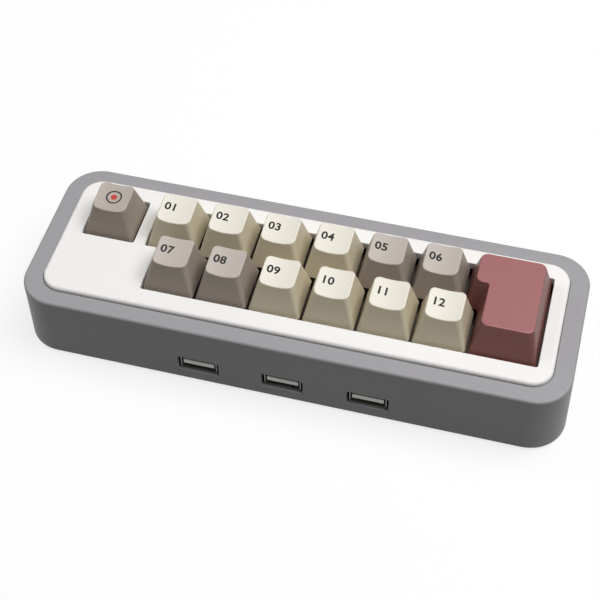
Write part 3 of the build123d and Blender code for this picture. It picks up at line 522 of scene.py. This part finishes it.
def print_on_cap(name, outline, key, material):
    """Turns a flat outline, drawn about the cap's middle, into ink on that cap."""
    outline.dimensions = "2D"
    outline.fill_mode = "BOTH"
    outline.extrude = (INK_SINK + INK_RISE) / 2
    mesh = curve_to_mesh(name, outline)
    cut_short(mesh)
    cap = frame["nodes"][f"keycap_{key}"]
    low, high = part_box(f"keycap_{key}")
    middle = (low + high) / 2
    corners = [vertex.co for vertex in cap.data.vertices]
    faces = [polygon.vertices for polygon in cap.data.polygons]
    surface = BVHTree.FromPolygons(corners, faces)
    for vertex in mesh.vertices:
        above = Vector((middle.x + vertex.co.x, middle.y + vertex.co.y, RAY_HEIGHT))
        point, normal, _, _ = surface.ray_cast(above, Vector((0, 0, -1)))
        vertex.co = point + normal * (vertex.co.z + (INK_RISE - INK_SINK) / 2)
    mesh.materials.append(material)
    ink = bpy.data.objects.new(name, mesh)
    bpy.context.scene.collection.objects.link(ink)
    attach(ink, f"key_{key}")


def number_outline(digits):
    """Text curve of a number at the legend's place."""
    outline = bpy.data.curves.new(f"digits_{digits}", "FONT")
    outline.body = digits
    outline.size = LEGEND_HEIGHT / DIGIT_SHARE
    outline.offset = LEGEND_STROKE
    outline.space_character = LEGEND_SPACING
    outline.resolution_u = DIGIT_STEPS
    outline.offset_x = LEGEND_LEFT
    outline.offset_y = LEGEND_BASE
    return outline


numbered = [key for key in keys if key.isdigit()]
for key in numbered:
    print_on_cap(f"legend_{key}", number_outline(key), key, dark_ink)
print("legends:", ", ".join(numbered))

# %% [markdown]
# ## The lone key's mark
# The key that stands apart at the left carries a plain start mark: a dark ring round a red dot.
# Both are circles of four Bezier points, filled as flat curves, and go through the same printing
# as the numbers. Two circles in one curve make a ring, because a filled curve leaves out the
# inner outline.

# %% Ring and dot
RING_RADIUS = 2.9 * MM
RING_BORE = 2.35 * MM
DOT_RADIUS = 1.15 * MM
MARK_BACK = 1.1 * MM
ROUND_HANDLE = 0.5523
ROUND_STEPS = 12


def round_outline(name, radii):
    """Flat curve of concentric circles, set a little behind the cap's middle."""
    outline = bpy.data.curves.new(name, "CURVE")
    corners = [Vector((1, 0, 0)), Vector((0, 1, 0)), Vector((-1, 0, 0)), Vector((0, -1, 0))]
    centre = Vector((0, MARK_BACK, 0))
    for radius in radii:
        spline = outline.splines.new("BEZIER")
        spline.bezier_points.add(len(corners) - 1)
        spline.use_cyclic_u = True
        spline.resolution_u = ROUND_STEPS
        for number, point in enumerate(spline.bezier_points):
            lean = ROUND_HANDLE * corners[(number + 1) % len(corners)]
            point.co = centre + radius * corners[number]
            point.handle_left = centre + radius * (corners[number] - lean)
            point.handle_right = centre + radius * (corners[number] + lean)
    return outline


print_on_cap("start_ring", round_outline("ring_outline", (RING_RADIUS, RING_BORE)), "solo", dark_ink)
print_on_cap("start_dot", round_outline("dot_outline", (DOT_RADIUS,)), "solo", red_ink)
print("lone key: ring and dot")

# %% [markdown]
# ## The table
# The keypad stands on a plain white table. The camera sees the table lifted towards white, and
# other rays see it grey, which keeps light from flooding up under the case. The shadow stays,
# because part of what the camera sees is still the lit table.

# %% Floor
FLOOR_SIDE = 6.0
FLOOR_BOUNCE = linear(96, 96, 96)
FLOOR_LIFT = 0.78


def seen_rays(shader):
    """1 for what the camera sees straight, in a mirror or through glass, and 0 for other rays."""
    shares = [
        shader.node("ShaderNodeLightPath", output=name)
        for name in ("Is Camera Ray", "Is Glossy Ray", "Is Transmission Ray")
    ]
    return shader.ease(shares[0] + shares[1] + shares[2], 0.0, 1.0)


def pale_floor():
    """Table top that looks white and keeps its shadows."""
    material, shader = new_finish("pale_table")
    seen = seen_rays(shader)
    paint = shader.mix(seen, FLOOR_BOUNCE, WHITE)
    lit = shader.node("ShaderNodeBsdfDiffuse", inputs={"Color": paint})
    white = shader.node("ShaderNodeEmission", inputs={"Color": WHITE, "Strength": 1.0})
    both = shader.node("ShaderNodeMixShader", inputs={"Fac": FLOOR_LIFT * seen, 1: lit, 2: white})
    shader.node("ShaderNodeOutputMaterial", inputs={"Surface": both})
    return material


floor_mesh = bpy.data.meshes.new("table")
half = FLOOR_SIDE / 2
floor_mesh.from_pydata(
    [(-half, -half, 0), (half, -half, 0), (half, half, 0), (-half, half, 0)], [], [(0, 1, 2, 3)]
)
floor_mesh.materials.append(pale_floor())
table = bpy.data.objects.new("table", floor_mesh)
bpy.context.scene.collection.objects.link(table)
print("table:", FLOOR_SIDE, "m wide")

# %% [markdown]
# ## The light
# One wide main lamp hangs high at the right and a little behind, so the level tops are brightest,
# the right flanks of the caps come next, and the front walls fall into a soft shade. A weak fill
# lamp at the left makes both ends of the cover equally bright. The room adds a faint even light.

# %% World and lamps
WORLD_LEVEL = 0.13
MAIN_PLACE = Vector((0.42, 0.14, 1.03))
MAIN_SIDE = 0.8
MAIN_POWER = 11.6
FILL_PLACE = Vector((-0.55, 0.1, 0.6))
FILL_SIDE = 0.4
FILL_POWER = 1.3

world = bpy.data.worlds.new("studio")
world.use_nodes = True
room = Shader(world.node_tree)
room_seen = seen_rays(room)
room_light = room.node("ShaderNodeBackground", inputs={"Color": WHITE, "Strength": WORLD_LEVEL})
room_white = room.node("ShaderNodeBackground", inputs={"Color": WHITE, "Strength": 1.0})
room_mix = room.node("ShaderNodeMixShader", inputs={"Fac": room_seen, 1: room_light, 2: room_white})
room.node("ShaderNodeOutputWorld", inputs={"Surface": room_mix})
bpy.context.scene.world = world


def soft_lamp(name, place, side, power):
    """Square lamp at a place, facing the keypad."""
    lamp = bpy.data.objects.new(name, bpy.data.lights.new(name, "AREA"))
    lamp.data.size = side
    lamp.data.energy = power
    lamp.location = place
    lamp.rotation_euler = (AIM_POINT - place).to_track_quat("-Z", "Y").to_euler()
    bpy.context.scene.collection.objects.link(lamp)


soft_lamp("main_lamp", MAIN_PLACE, MAIN_SIDE, MAIN_POWER)
soft_lamp("fill_lamp", FILL_PLACE, FILL_SIDE, FILL_POWER)
print("lamps: main", MAIN_POWER, "W and fill", FILL_POWER, "W")

# %% [markdown]
# ## Colour
# The picture is shown with the plain Standard view, so a colour comes out as it was written.

# %% Finish
bpy.context.scene.view_settings.view_transform = "Standard"
